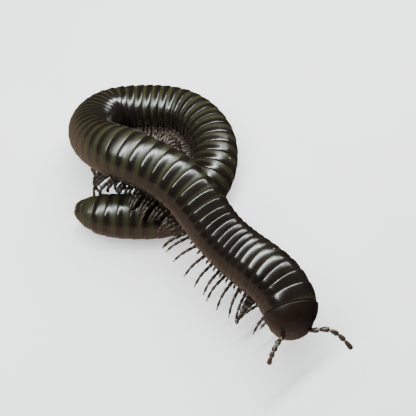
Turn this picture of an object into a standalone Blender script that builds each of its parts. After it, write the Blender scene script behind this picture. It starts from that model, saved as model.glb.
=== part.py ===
"""Spirostreptus millipede, life size, crossing over its own coiled rear body.

A still museum model. The body is a row of telescoped rings swept along one smooth axis from
the head, over the rear body, round a tight loop on the floor and back to the tail. Each length
of the body carries its legs. Sizes are real ones, in metres, with +Z up.
"""
import math
import random

import bmesh
import bpy
import numpy as np
from mathutils import Matrix, Vector

MM = 0.001
SEED = 7

# Axis of the body in millimetres, from the front of the collum to the tip of the tail.
AXIS_POINTS = (
    (22.4, -42.1, 14.4),
    (21.1, -37.4, 15.3),
    (19.7, -32.4, 16.2),
    (16.9, -28.0, 16.9),
    (9.3, -20.9, 17.4),
    (1.8, -12.9, 18.3),
    (-4.4, -4.5, 20.7),
    (-13.0, 2.5, 22.5),
    (-22.9, 8.2, 22.2),
    (-31.2, 17.4, 16.0),
    (-32.9, 27.3, 10.5),
    (-28.4, 35.0, 6.8),
    (-16.9, 36.8, 6.4),
    (-7.2, 34.9, 6.4),
    (0.3, 26.6, 6.4),
    (1.5, 15.4, 6.4),
    (-2.0, 6.5, 6.4),
    (-8.7, 0.2, 6.4),
    (-18.8, -1.7, 6.4),
    (-29.9, -0.9, 6.4),
    (-36.6, 0.8, 6.4),
)

# Stops along the body, in millimetres from the front of the axis.
DIAMETER_STOPS = (
    (0.0, 14.4), (9.0, 14.7), (16.0, 15.0), (25.0, 14.5), (34.0, 13.9), (44.0, 14.3), (55.0, 14.6),
    (70.0, 14.6), (84.0, 13.7), (110.0, 13.4), (128.0, 13.5), (142.0, 14.0), (155.0, 13.6),
    (178.0, 13.1), (186.0, 12.6), (191.0, 11.5), (194.5, 9.0), (197.2, 5.6), (198.4, 2.8),
)
# How far the belly is turned towards the inside of the loop, in degrees.
ROLL_STOPS = ((0.0, 0.0), (60.0, 0.0), (95.0, 48.0), (115.0, 55.0), (160.0, 55.0), (175.0, 45.0), (198.0, 40.0))

# Rings: the collum is ring 1. Pitch stops are ring number and millimetres.
LAST_RING = 68
RINGS_PER_LENGTH = 7
PITCH_STOPS = (
    (2, 3.7), (3, 2.7), (6, 2.7), (8, 1.85), (10, 2.0), (13, 2.4), (16, 2.9), (18, 3.4), (21, 3.4),
    (24, 2.6), (25, 2.7), (27, 3.1), (29, 3.0), (32, 1.9), (35, 2.25), (38, 2.15), (40, 2.6),
    (41, 2.7), (44, 2.25), (49, 2.4), (53, 3.0), (56, 3.15), (67, 3.3),
)
RING_SIDES = 16
FRONT_OF_RING = 0.945
STEP_SHARE = 0.14
BELLY_FLATTENING = 0.05
GAP = 0.34

# Collum, the smooth shield behind the head.
COLLUM_REAR = 7.1
# The head's line leaves the body's axis here, and its measures start a little behind.
HEAD_FACES_AS_AT = 7.4
HEAD_SET_BACK = 1.4
# It is a dome over the head's line: its rear rim and length in head measures, its radius, and
# how far its margin hangs below the axis at each distance ahead.
COLLUM_START = 2.04
COLLUM_LENGTH = 6.1
COLLUM_RADIUS = 7.2
COLLUM_ROW_ANGLES = (0.0, 13.0, 28.0, 43.0, 57.0, 70.0, 80.0)
COLLUM_LOWEST = ((2.0, -5.4), (3.4, -5.2), (4.6, -4.0), (5.6, -2.4), (6.7, -0.6), (7.5, 0.2), (8.12, 0.6))
COLLUM_SIDES = 24
HALF_WAY_FORWARD = 45.0

# Head pieces, in millimetres: across, ahead of the collum's rear edge, and above the axis.
HEAD_CENTRE = (0.0, 4.9, -2.7)
HEAD_RADII = (5.3, 3.9, 5.5)
HEAD_TILT = -8.0
LIP_CENTRE = (0.0, 4.6, -7.2)
LIP_RADII = (3.3, 2.0, 1.6)
CHEEK_CENTRE = (4.1, 3.5, -4.7)
CHEEK_RADII = (1.5, 2.3, 2.5)
MOUTH_PLATE_CENTRE = (0.0, 2.9, -7.6)
MOUTH_PLATE_RADII = (2.9, 1.9, 1.3)
EYE_CENTRE = (4.25, 6.9, -2.3)
EYE_RADII = (0.55, 0.95, 0.75)
EYE_TURN = 42.0
# Hollows of an antenna's socket: share of the way to its second point, and radius.
SOCKET_HOLLOWS = ((0.0, 1.0), (0.35, 0.95))
# The body's first ring stands behind this distance ahead, and the head's pieces end there.
NECK_AHEAD = 1.85
NECK_DEPTH = 6.0
NECK_RADIUS = 12.0

# Antennae: seven articles along a route from the socket, as head-frame millimetres.
ANTENNA_LEFT_ROUTE = (
    (-2.6, 7.5, -1.4), (-5.3, 8.5, 0.4), (-7.0, 9.0, 1.2), (-8.9, 10.1, 1.0), (-10.7, 11.9, 0.0), (-12.6, 14.6, -1.8),
)
ANTENNA_RIGHT_ROUTE = (
    (2.6, 7.2, -1.4), (5.1, 9.1, 0.2), (6.5, 10.6, 0.4), (7.5, 11.8, -0.6), (8.5, 13.4, -2.6),
)
ARTICLE_SHARES = (0.06, 0.20, 0.19, 0.17, 0.16, 0.15, 0.07)
ARTICLE_RADII = (0.46, 0.50, 0.50, 0.50, 0.52, 0.55, 0.42)
ANTENNA_NECK = 0.30
ANTENNA_SIDES = 8

# Tail: the last ring tapers, and two valves close it.
TAIL_RING_START = 192.2
TAIL_RING_END = 196.0
VALVE_END = 198.1

# Legs: across the belly, below the belly's surface, and radius, from root to tip.
LEG_ACROSS = (1.5, 2.3, 5.6, 9.4, 12.2)
LEG_BELOW = (-1.5, 0.5, 1.1, 1.0, 3.8)
LEG_RADIUS = (0.42, 0.40, 0.37, 0.33)
LEG_SIDES = 4
FIRST_DOUBLE_RING = 5
LEGLESS_LAST_RINGS = 2
# Along the body: reach of the legs as a share of a free leg's, and how far they swing headward.
REACH_STOPS = (
    (0, 0.5), (10, 0.5), (12, 0.8), (16, 0.95), (24, 1.0), (39, 1.0), (42, 0.85), (46, 0.75), (71, 0.75),
    (74, 0.45), (79, 0.45), (82, 0.95), (89, 0.95), (94, 0.55), (198, 0.5),
)
SWING_STOPS = (
    (0, 4.0), (12.4, 5.0), (14.9, -0.5), (17, 0.3), (19, 2.0), (22, 4.4), (25, 4.4), (28, 1.2), (31, 2.4),
    (34, 2.0), (36.5, -0.4), (39, -0.4), (46, -2.0), (52, 0.5), (58, -1.5), (64, 0.5), (71, -2.0), (79, -2.5),
    (83, -4.0), (88, -4.0), (95, 0.0), (198, 0.0),
)
CROWDED_RINGS = range(29, LAST_RING + 1)
CLEAR_OF_BODY = 0.75
CLEAR_OF_OWN_BODY = 0.45
FLOOR_CLEARANCE = 0.45
OWN_STRETCH = 10

AXIS_STEP = 0.25
FINE_STEP = 0.05
POINTS_PER_CHECK = 4

# Shares of a ring's pitch at which its leg pairs stand.
SINGLE_PAIR_SHARE = 0.55
DOUBLE_PAIR_SHARES = (0.34, 0.80)
SWING_SPREAD = 0.06
SWING_CURVE = 1.3
# Directions that no leg or antenna runs along, to square their sides to.
LEG_LEAN = (0.3, 0.2, 1.0)
ANTENNA_LEAN = (0.1, 0.2, 1.0)
# Within one article: share of its length, and width as its neck or as a share of its radius.
ARTICLE_NECK_AT = 0.04
ARTICLE_BULGE_AT = 0.62
ARTICLE_END = (0.90, 0.86)

TAIL_STEPS = 5
TAIL_SIDES = 24
TAIL_SHARE = 0.97
VALVE_SHARE = 0.92
VALVE_COLUMNS = 12

HEAD_FACETS = (20, 12)
MOUTH_FACETS = (12, 8)
EYE_FACETS = (10, 6)
SOCKET_FACETS = (8, 6)
SHARP_EDGE = 35.0

BLACK_CUTICLE = ("black_cuticle", (0.035, 0.028, 0.022, 1.0), 0.28)
OLIVE_CUTICLE = ("olive_cuticle", (0.060, 0.062, 0.030, 1.0), 0.30)
BROWN_CUTICLE = ("brown_cuticle", (0.090, 0.052, 0.032, 1.0), 0.38)
EYE_CUTICLE = ("eye_cuticle", (0.008, 0.007, 0.007, 1.0), 0.15)


def clear_scene():
    for item in list(bpy.data.objects):
        bpy.data.objects.remove(item, do_unlink=True)


def new_collection(name):
    collection = bpy.data.collections.new(name)
    bpy.context.scene.collection.children.link(collection)
    return collection


def cuticle(finish):
    name, colour, roughness = finish
    material = bpy.data.materials.get(name)
    if material:
        return material
    material = bpy.data.materials.new(name)
    material.use_nodes = True
    shader = material.node_tree.nodes["Principled BSDF"]
    shader.inputs["Base Color"].default_value = colour
    shader.inputs["Roughness"].default_value = roughness
    shader.inputs["Metallic"].default_value = 0.0
    return material


def at_stops(stops, place):
    """Value between stops, each a place and a value."""
    places, values = zip(*stops)
    return float(np.interp(place, places, values))


class SmoothRoute:
    """Natural cubic curve through points, read by its length in millimetres."""

    def __init__(self, points, step=AXIS_STEP):
        points = np.array(points, dtype=float)
        knots = np.concatenate(([0.0], np.cumsum(np.linalg.norm(np.diff(points, axis=0), axis=1))))
        count = len(points)
        spans = np.diff(knots)
        system = np.eye(count)
        right_side = np.zeros((count, 3))
        for i in range(1, count - 1):
            system[i, i - 1] = spans[i - 1]
            system[i, i] = 2 * (spans[i - 1] + spans[i])
            system[i, i + 1] = spans[i]
            rise = (points[i + 1] - points[i]) / spans[i]
            fall = (points[i] - points[i - 1]) / spans[i - 1]
            right_side[i] = 6 * (rise - fall)
        bends = np.linalg.solve(system, right_side)
        dense = np.linspace(0.0, knots[-1], int(knots[-1] / step) + 1)
        span_of = np.clip(np.searchsorted(knots, dense, side="right") - 1, 0, count - 2)
        width = spans[span_of][:, None]
        after = (dense - knots[span_of])[:, None]
        before = width - after
        self.points = (
            (bends[span_of] * before**3 + bends[span_of + 1] * after**3) / (6 * width)
            + (points[span_of] / width - bends[span_of] * width / 6) * before
            + (points[span_of + 1] / width - bends[span_of + 1] * width / 6) * after
        )
        lengths = np.linalg.norm(np.diff(self.points, axis=0), axis=1)
        self.places = np.concatenate(([0.0], np.cumsum(lengths)))
        self.length = float(self.places[-1])

    def point(self, place):
        inside = min(max(place, 0.0), self.length)
        found = [float(np.interp(inside, self.places, self.points[:, i])) for i in range(3)]
        here = Vector(found)
        if inside != place:
            here = here + self.heading(inside) * (place - inside)
        return here

    def heading(self, place):
        """Direction of growing length."""
        low = max(min(place, self.length) - AXIS_STEP * 2, 0.0)
        high = min(low + AXIS_STEP * 4, self.length)
        low = high - AXIS_STEP * 4
        return (self.point(high) - self.point(low)).normalized()


AXIS = SmoothRoute(AXIS_POINTS)


def ring_edges():
    """Front edge of each ring from ring 2, and the rear edge of the last."""
    pitches = [at_stops(PITCH_STOPS, ring) for ring in range(2, LAST_RING + 1)]
    fit = (TAIL_RING_START - COLLUM_REAR) / sum(pitches)
    edges = [COLLUM_REAR]
    for pitch in pitches:
        edges.append(edges[-1] + pitch * fit)
    return edges


EDGES = ring_edges()


def ring_start(ring):
    return EDGES[ring - 2]


def frame_at(place):
    """Origin, right side, back and headward directions of the body, with its roll."""
    headward = -AXIS.heading(place)
    upright = Vector((0.0, 0.0, 1.0))
    back = (upright - headward * upright.dot(headward)).normalized()
    right = headward.cross(back)
    turn = Matrix.Rotation(math.radians(at_stops(ROLL_STOPS, place)), 3, headward)
    return AXIS.point(place), turn @ right, turn @ back, headward


def radius_at(place):
    return at_stops(DIAMETER_STOPS, place) / 2


def body_loop(place, share, sides=RING_SIDES):
    """Points round the body, the belly a little flatter than the back."""
    origin, right, back, _ = frame_at(place)
    radius = radius_at(place) * share
    points = []
    for i in range(sides):
        angle = math.tau * i / sides
        flat = 1 - BELLY_FLATTENING * max(0.0, -math.cos(angle)) ** 3
        across = right * (math.sin(angle) * radius)
        upward = back * (math.cos(angle) * radius * flat)
        point = origin + across + upward
        point.z = max(point.z, 0.0)
        points.append(point)
    return points


def loft(name, loops):
    """Closed mesh over loops of like count, with a fan at each end."""
    mesh = bmesh.new()
    rows = [[mesh.verts.new(point * MM) for point in loop] for loop in loops]
    sides = len(rows[0])
    for front, rear in zip(rows, rows[1:]):
        for i in range(sides):
            j = (i + 1) % sides
            mesh.faces.new((front[i], front[j], rear[j], rear[i]))
    for row in (rows[0], rows[-1]):
        middle = mesh.verts.new(sum((vert.co for vert in row), Vector()) / sides)
        for i in range(sides):
            mesh.faces.new((row[i], row[(i + 1) % sides], middle))
    return as_object(name, mesh)


def as_object(name, mesh):
    bmesh.ops.triangulate(mesh, faces=mesh.faces[:])
    bmesh.ops.recalc_face_normals(mesh, faces=mesh.faces[:])
    data = bpy.data.meshes.new(name)
    mesh.to_mesh(data)
    mesh.free()
    item = bpy.data.objects.new(name, data)
    bpy.context.scene.collection.objects.link(item)
    return item


def ellipsoid(name, centre, radii, turn=None, grow=0.0, facets=MOUTH_FACETS):
    mesh = bmesh.new()
    segments, rings = facets
    bmesh.ops.create_uvsphere(mesh, u_segments=segments, v_segments=rings, radius=1.0)
    size = Matrix.Diagonal([radius + grow for radius in radii])
    turn = turn or Matrix.Identity(3)
    for vert in mesh.verts:
        vert.co = (Vector(centre) + turn @ (size @ vert.co)) * MM
    return as_object(name, mesh)


def place_in_head(item):
    """Moves a piece from head millimetres to its place at the collum's rear edge."""
    origin, right, back, headward = frame_at(HEAD_FACES_AS_AT)
    origin = origin - headward * HEAD_SET_BACK
    axes = Matrix((right, headward, back)).transposed().to_4x4()
    item.data.transform(Matrix.Translation(origin * MM) @ axes)
    return item


def largest_body(item):
    """Keeps only the closed surface that holds the most space."""
    mesh = bmesh.new()
    mesh.from_mesh(item.data)
    bmesh.ops.triangulate(mesh, faces=mesh.faces[:])
    mesh.faces.ensure_lookup_table()
    seen = set()
    bodies = []
    for face in mesh.faces:
        if face in seen:
            continue
        body = [face]
        seen.add(face)
        for member in body:
            for edge in member.edges:
                for other in edge.link_faces:
                    if other not in seen:
                        seen.add(other)
                        body.append(other)
        space = sum(f.verts[0].co.dot(f.verts[1].co.cross(f.verts[2].co)) for f in body) / 6
        bodies.append((abs(space), body))
    bodies.sort(key=lambda pair: pair[0], reverse=True)
    loose = [face for _, body in bodies[1:] for face in body]
    bmesh.ops.delete(mesh, geom=loose, context="FACES")
    mesh.to_mesh(item.data)
    mesh.free()


def combine(item, others, operation):
    """Boolean of a piece with a collection of others, which are then removed.

    The manifold solver is used because the exact one left open edges among the many legs.
    """
    group = bpy.data.collections.new(item.name + "_others")
    bpy.context.scene.collection.children.link(group)
    for other in others:
        group.objects.link(other)
    cut = item.modifiers.new(operation.lower(), "BOOLEAN")
    cut.operand_type = "COLLECTION"
    cut.collection = group
    cut.operation = operation
    cut.solver = "MANIFOLD"
    bpy.context.view_layer.update()
    result = bpy.data.meshes.new_from_object(item.evaluated_get(bpy.context.evaluated_depsgraph_get()))
    item.modifiers.remove(cut)
    item.data = result
    for other in others:
        bpy.data.objects.remove(other, do_unlink=True)
    bpy.data.collections.remove(group)
    largest_body(item)
    return item


def finish(item, collection, finish_name):
    item.data.materials.clear()
    item.data.materials.append(cuticle(finish_name))
    item.data.shade_smooth()
    item.data.set_sharp_from_angle(angle=math.radians(SHARP_EDGE))
    for holder in list(item.users_collection):
        holder.objects.unlink(item)
    collection.objects.link(item)


def push_from_body(point, place, spare, own):
    """Moves a point out of the body's tube, its own stretch or the other stretches."""
    best = None
    for i in range(0, len(AXIS.points), POINTS_PER_CHECK):
        there = AXIS.places[i]
        is_own = abs(there - place) < OWN_STRETCH
        if is_own != own:
            continue
        away = point - Vector(AXIS.points[i])
        short = radius_at(there) + spare - away.length
        if best is None or short > best[0]:
            best = (short, away)
    if best and best[0] > 0:
        point = point + best[1].normalized() * best[0]
    return point


def leg_path(place, side, swing, reach):
    """Points and radii of one leg, from inside the belly to the claw."""
    origin, right, back, headward = frame_at(place)
    belly = radius_at(place) * (1 - BELLY_FLATTENING)
    points = []
    for i, (across, below) in enumerate(zip(LEG_ACROSS, LEG_BELOW)):
        out = i / (len(LEG_ACROSS) - 1)
        stretch = reach if i > 1 else 1.0
        point = origin + right * (side * (LEG_ACROSS[1] + (across - LEG_ACROSS[1]) * stretch))
        point = point - back * (belly + LEG_BELOW[1] + (below - LEG_BELOW[1]) * stretch)
        point = point + headward * (swing * out**SWING_CURVE)
        if i > 0:
            point = push_from_body(point, place, CLEAR_OF_OWN_BODY, own=True)
            point = push_from_body(point, place, CLEAR_OF_BODY, own=False)
            point.z = max(point.z, FLOOR_CLEARANCE)
        points.append(point)
    return points


def leg(name, points):
    """Tapered bent tube of few sides, pointed at the claw."""
    mesh = bmesh.new()
    rows = []
    lean = Vector(LEG_LEAN).normalized()
    for i, (point, radius) in enumerate(zip(points[:-1], LEG_RADIUS)):
        before = points[max(i - 1, 0)]
        after = points[min(i + 1, len(points) - 1)]
        along = (after - before).normalized()
        across = along.cross(lean).normalized()
        other = along.cross(across)
        row = []
        for k in range(LEG_SIDES):
            angle = math.tau * (k + 0.5) / LEG_SIDES
            offset = across * math.cos(angle) + other * math.sin(angle)
            row.append(mesh.verts.new((point + offset * radius) * MM))
        rows.append(row)
    for front, rear in zip(rows, rows[1:]):
        for k in range(LEG_SIDES):
            j = (k + 1) % LEG_SIDES
            mesh.faces.new((front[k], front[j], rear[j], rear[k]))
    mesh.faces.new(rows[0])
    claw = mesh.verts.new(points[-1] * MM)
    for k in range(LEG_SIDES):
        mesh.faces.new((rows[-1][k], rows[-1][(k + 1) % LEG_SIDES], claw))
    return as_object(name, mesh)


def leg_places(ring):
    """Places of the leg pairs of a ring."""
    start = ring_start(ring)
    pitch = ring_start(ring + 1) - start
    if ring < FIRST_DOUBLE_RING or ring in CROWDED_RINGS:
        return [start + pitch * SINGLE_PAIR_SHARE]
    return [start + pitch * share for share in DOUBLE_PAIR_SHARES]


def body_length(number, first, last, collection, draw):
    """One length of rings with its legs fused in."""
    loops = []
    for ring in range(first, last + 1):
        start = ring_start(ring)
        end = ring_start(ring + 1)
        front = start + (GAP / 2 if ring == first else (end - start) * STEP_SHARE)
        rear = end - (GAP / 2 if ring == last else 0.0)
        loops.append(body_loop(front, FRONT_OF_RING))
        loops.append(body_loop(rear, 1.0))
    name = f"body_length_{number:02d}"
    item = loft(name, loops)
    legs = []
    for ring in range(first, min(last, LAST_RING - LEGLESS_LAST_RINGS) + 1):
        for place in leg_places(ring):
            for side in (-1, 1):
                reach = at_stops(REACH_STOPS, place)
                swing = (at_stops(SWING_STOPS, place) + draw.uniform(-SWING_SPREAD, SWING_SPREAD)) * reach
                legs.append(leg(f"leg_{len(legs)}", leg_path(place, side, swing, reach)))
    combine(item, legs, "UNION")
    finish(item, collection, OLIVE_CUTICLE)
    return item


def collum_mesh(name, grow=0.0):
    """Dome over the neck, open below: its lower edge rises towards the front."""
    loops = []
    for degrees in COLLUM_ROW_ANGLES:
        forward = math.radians(degrees)
        ahead = COLLUM_START + COLLUM_LENGTH * math.sin(forward)
        lowest = at_stops(COLLUM_LOWEST, ahead) - grow
        radius = COLLUM_RADIUS * math.cos(forward) + grow
        if degrees == COLLUM_ROW_ANGLES[0]:
            ahead -= grow
        elif degrees > HALF_WAY_FORWARD:
            ahead += grow
        loop = []
        for i in range(COLLUM_SIDES):
            angle = math.tau * i / COLLUM_SIDES
            height = max(math.cos(angle) * radius, lowest)
            loop.append(Vector((math.sin(angle) * radius, ahead, height)))
        loops.append(loop)
    return place_in_head(loft(name, loops))


def shifted(centre, side):
    return (centre[0] * side, centre[1], centre[2])


def head_turn():
    return Matrix.Rotation(math.radians(HEAD_TILT), 3, "X")


def eye_turn(side):
    return Matrix.Rotation(math.radians(EYE_TURN * side), 3, "Z")


def neck_space():
    """Disc that keeps the head's pieces clear of the body's first ring."""
    loops = []
    for ahead in (NECK_AHEAD - NECK_DEPTH, NECK_AHEAD):
        turns = [math.tau * i / COLLUM_SIDES for i in range(COLLUM_SIDES)]
        loops.append([Vector((math.sin(t) * NECK_RADIUS, ahead, math.cos(t) * NECK_RADIUS)) for t in turns])
    return place_in_head(loft("neck_space", loops))


def head_body(name, grow=0.0):
    return place_in_head(ellipsoid(name, HEAD_CENTRE, HEAD_RADII, head_turn(), grow, HEAD_FACETS))


def make_head(collection):
    """Head capsule with its lip, cut clear of the collum, eyes and antennae."""
    item = head_body("head")
    lip = place_in_head(ellipsoid("lip", LIP_CENTRE, LIP_RADII, head_turn()))
    combine(item, [lip], "UNION")
    cutters = [collum_mesh("collum_space", GAP), neck_space()]
    for side, route in ((1, ANTENNA_RIGHT_ROUTE), (-1, ANTENNA_LEFT_ROUTE)):
        centre = shifted(EYE_CENTRE, side)
        cutters.append(place_in_head(ellipsoid("eye_space", centre, EYE_RADII, eye_turn(side), GAP, EYE_FACETS)))
        for share, radius in SOCKET_HOLLOWS:
            middle = Vector(route[0]).lerp(Vector(route[1]), share)
            hollow = ellipsoid("socket", middle, (radius,) * 3, None, 0.0, SOCKET_FACETS)
            cutters.append(place_in_head(hollow))
    combine(item, cutters, "DIFFERENCE")
    finish(item, collection, BROWN_CUTICLE)
    return item


def make_mouth(collection):
    """Cheeks at the sides of the head, and the plate that closes the mouth below."""
    for side, name in ((1, "cheek_right"), (-1, "cheek_left")):
        centre = shifted(CHEEK_CENTRE, side)
        cheek = place_in_head(ellipsoid(name, centre, CHEEK_RADII, head_turn()))
        cutters = [head_body("head_space", GAP), collum_mesh("collum_space", GAP), neck_space()]
        combine(cheek, cutters, "DIFFERENCE")
        finish(cheek, collection, BROWN_CUTICLE)
    plate = place_in_head(ellipsoid("mouth_plate", MOUTH_PLATE_CENTRE, MOUTH_PLATE_RADII))
    cutters = [head_body("head_space", GAP), collum_mesh("collum_space", GAP), neck_space()]
    cutters.append(place_in_head(ellipsoid("lip_space", LIP_CENTRE, LIP_RADII, head_turn(), GAP)))
    for side in (1, -1):
        centre = shifted(CHEEK_CENTRE, side)
        cutters.append(place_in_head(ellipsoid("cheek_space", centre, CHEEK_RADII, head_turn(), GAP)))
    combine(plate, cutters, "DIFFERENCE")
    finish(plate, collection, BROWN_CUTICLE)


def make_eyes(collection):
    for side, name in ((1, "eye_right"), (-1, "eye_left")):
        centre = shifted(EYE_CENTRE, side)
        eye = place_in_head(ellipsoid(name, centre, EYE_RADII, eye_turn(side), 0.0, EYE_FACETS))
        combine(eye, [collum_mesh("collum_space", GAP)], "DIFFERENCE")
        finish(eye, collection, EYE_CUTICLE)


def antenna(name, points, collection):
    """Seven club-shaped articles on one bent line."""
    route = SmoothRoute(points, FINE_STEP)
    mesh_loops = []
    start = 0.0
    lean = Vector(ANTENNA_LEAN).normalized()
    for share, radius in zip(ARTICLE_SHARES, ARTICLE_RADII):
        length = share * route.length
        end_at, end_share = ARTICLE_END
        rows = ((ARTICLE_NECK_AT, ANTENNA_NECK), (ARTICLE_BULGE_AT, radius), (end_at, radius * end_share))
        for part, width in rows:
            place = start + part * length
            along = route.heading(place)
            across = along.cross(lean).normalized()
            other = along.cross(across)
            loop = []
            for k in range(ANTENNA_SIDES):
                angle = math.tau * k / ANTENNA_SIDES
                loop.append(route.point(place) + (across * math.cos(angle) + other * math.sin(angle)) * width)
            mesh_loops.append(loop)
        start += length
    item = place_in_head(loft(name, mesh_loops))
    finish(item, collection, BROWN_CUTICLE)
    return item


def make_tail(collection):
    """Last ring with a blunt end, and two valves parted by a thin slit."""
    loops = []
    for i in range(TAIL_STEPS + 1):
        place = TAIL_RING_START + GAP / 2 + (TAIL_RING_END - TAIL_RING_START - GAP / 2) * i / TAIL_STEPS
        loops.append(body_loop(place, TAIL_SHARE if i else FRONT_OF_RING, TAIL_SIDES))
    finish(loft("tail_ring", loops), collection, OLIVE_CUTICLE)
    origin, right, back, headward = frame_at(TAIL_RING_END)
    for side, name in ((1, "anal_valve_right"), (-1, "anal_valve_left")):
        loops = []
        for i in range(TAIL_STEPS + 1):
            place = TAIL_RING_END + GAP + (VALVE_END - TAIL_RING_END - GAP) * i / TAIL_STEPS
            centre = AXIS.point(place)
            radius = radius_at(place) * VALVE_SHARE
            loop = []
            for k in range(VALVE_COLUMNS + 1):
                angle = math.pi * k / VALVE_COLUMNS
                across = GAP / 2 + math.sin(angle) * radius
                loop.append(centre + right * (side * across) + back * (math.cos(angle) * radius))
            loops.append(loop)
        finish(loft(name, loops), collection, OLIVE_CUTICLE)


def stand_at_origin(collection):
    """Moves the whole model so that the middle of its box stands over the origin."""
    corners = np.array([vert.co for item in collection.objects for vert in item.data.vertices])
    middle = (corners.min(axis=0) + corners.max(axis=0)) / 2
    shift = Vector((-middle[0], -middle[1], 0.0))
    for item in collection.objects:
        item.data.transform(Matrix.Translation(shift))
    print("moved by", [round(value / MM, 3) for value in shift], "mm")


def build():
    clear_scene()
    draw = random.Random(SEED)
    collection = new_collection("spirostreptus_millipede")
    make_head(collection)
    make_mouth(collection)
    make_eyes(collection)
    antenna("antenna_right", ANTENNA_RIGHT_ROUTE, collection)
    antenna("antenna_left", ANTENNA_LEFT_ROUTE, collection)
    finish(collum_mesh("collum"), collection, BLACK_CUTICLE)
    first = 2
    number = 1
    while first <= LAST_RING:
        last = min(first + RINGS_PER_LENGTH - 1, LAST_RING)
        if LAST_RING - last < RINGS_PER_LENGTH // 2:
            last = LAST_RING
        body_length(number, first, last, collection, draw)
        first = last + 1
        number += 1
    make_tail(collection)
    stand_at_origin(collection)


build()
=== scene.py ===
# %% [markdown]
# # A giant millipede, dressed over its plain solids
#
# The animal is a long row of hard glossy rings that slide in one another like the tubes of a
# telescope. Its front body crosses over its own rear body, which lies coiled on the floor.
# The plain solids are loaded first and stay where they are. Everything that shows is then
# made again, finer, along the same line, so that both agree to within a fraction of a
# millimetre.

# %% Load the frame
import math
import random

import bmesh
import bpy
import numpy as np
from mathutils import Matrix, Vector


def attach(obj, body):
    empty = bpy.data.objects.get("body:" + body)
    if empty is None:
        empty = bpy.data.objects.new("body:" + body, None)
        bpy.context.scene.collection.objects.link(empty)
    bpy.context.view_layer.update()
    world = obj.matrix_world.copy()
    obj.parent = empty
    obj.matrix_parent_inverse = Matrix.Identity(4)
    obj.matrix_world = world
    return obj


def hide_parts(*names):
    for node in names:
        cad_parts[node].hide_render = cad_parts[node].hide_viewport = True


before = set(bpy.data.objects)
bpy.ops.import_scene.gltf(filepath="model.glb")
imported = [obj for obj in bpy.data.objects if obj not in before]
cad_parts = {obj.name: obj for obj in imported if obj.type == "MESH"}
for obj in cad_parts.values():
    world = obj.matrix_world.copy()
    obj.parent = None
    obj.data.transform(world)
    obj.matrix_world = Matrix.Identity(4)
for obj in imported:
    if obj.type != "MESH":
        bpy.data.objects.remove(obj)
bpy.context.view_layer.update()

print("solids:", len(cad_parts), "nodes")

# %% [markdown]
# ## The line of the body
#
# A curve object could carry the body, but every ring needs to know its own distance from the
# head, its thickness and how far its belly is rolled. So the line is kept as numbers: a
# smooth curve through a few points, read by its length. The points are in millimetres.

# %% The line of the body
MM = 0.001
AXIS_POINTS = (
    (22.4, -42.1, 14.4), (21.1, -37.4, 15.3), (19.7, -32.4, 16.2), (16.9, -28.0, 16.9),
    (9.3, -20.9, 17.4), (1.8, -12.9, 18.3), (-4.4, -4.5, 20.7), (-13.0, 2.5, 22.5),
    (-22.9, 8.2, 22.2), (-31.2, 17.4, 16.0), (-32.9, 27.3, 10.5), (-28.4, 35.0, 6.8),
    (-16.9, 36.8, 6.4), (-7.2, 34.9, 6.4), (0.3, 26.6, 6.4), (1.5, 15.4, 6.4),
    (-2.0, 6.5, 6.4), (-8.7, 0.2, 6.4), (-18.8, -1.7, 6.4), (-29.9, -0.9, 6.4),
    (-36.6, 0.8, 6.4),
)
MODEL_SHIFT = np.array((1.895, 2.472, 0.0))


class SmoothLine:
    """Natural cubic curve through points, read by its length."""

    def __init__(self, points, samples=900):
        points = np.array(points, dtype=float)
        knots = np.concatenate(([0.0], np.cumsum(np.linalg.norm(np.diff(points, axis=0), axis=1))))
        count = len(points)
        spans = np.diff(knots)
        system = np.eye(count)
        right_side = np.zeros((count, 3))
        for i in range(1, count - 1):
            system[i, i - 1 : i + 2] = (spans[i - 1], 2 * (spans[i - 1] + spans[i]), spans[i])
            slopes = (points[i + 1] - points[i]) / spans[i] - (points[i] - points[i - 1]) / spans[i - 1]
            right_side[i] = 6 * slopes
        bends = np.linalg.solve(system, right_side)
        dense = np.linspace(0.0, knots[-1], samples)
        span_of = np.clip(np.searchsorted(knots, dense, side="right") - 1, 0, count - 2)
        width = spans[span_of][:, None]
        after = (dense - knots[span_of])[:, None]
        before = width - after
        self.points = (
            (bends[span_of] * before**3 + bends[span_of + 1] * after**3) / (6 * width)
            + (points[span_of] / width - bends[span_of] * width / 6) * before
            + (points[span_of + 1] / width - bends[span_of + 1] * width / 6) * after
        )
        steps = np.linalg.norm(np.diff(self.points, axis=0), axis=1)
        self.places = np.concatenate(([0.0], np.cumsum(steps)))
        self.length = float(self.places[-1])
        self.headings = np.gradient(self.points, self.places, axis=0)
        self.headings /= np.linalg.norm(self.headings, axis=1)[:, None]

    def read(self, table, places):
        return np.stack([np.interp(places, self.places, table[:, k]) for k in range(3)], axis=-1)

    def at(self, places):
        """Points at these lengths, carried on straight past either end."""
        places = np.asarray(places, dtype=float)
        inside = np.clip(places, 0.0, self.length)
        beyond = (places - inside)[..., None]
        return self.read(self.points, inside) + self.read(self.headings, inside) * beyond


axis = SmoothLine(np.array(AXIS_POINTS) + MODEL_SHIFT)
print("length of the body's line:", round(axis.length, 1), "mm")

# %% [markdown]
# ## Thickness, roll and rings
#
# The body is thinnest behind the head and in the tight bend. From the loop to the tail it lies
# partly on its side, the belly turned to the inside. Where it is stretched the rings stand far
# apart, and where it bends they slide together. Short tables of stops say all this, and each
# value between two stops is worked out.

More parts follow.
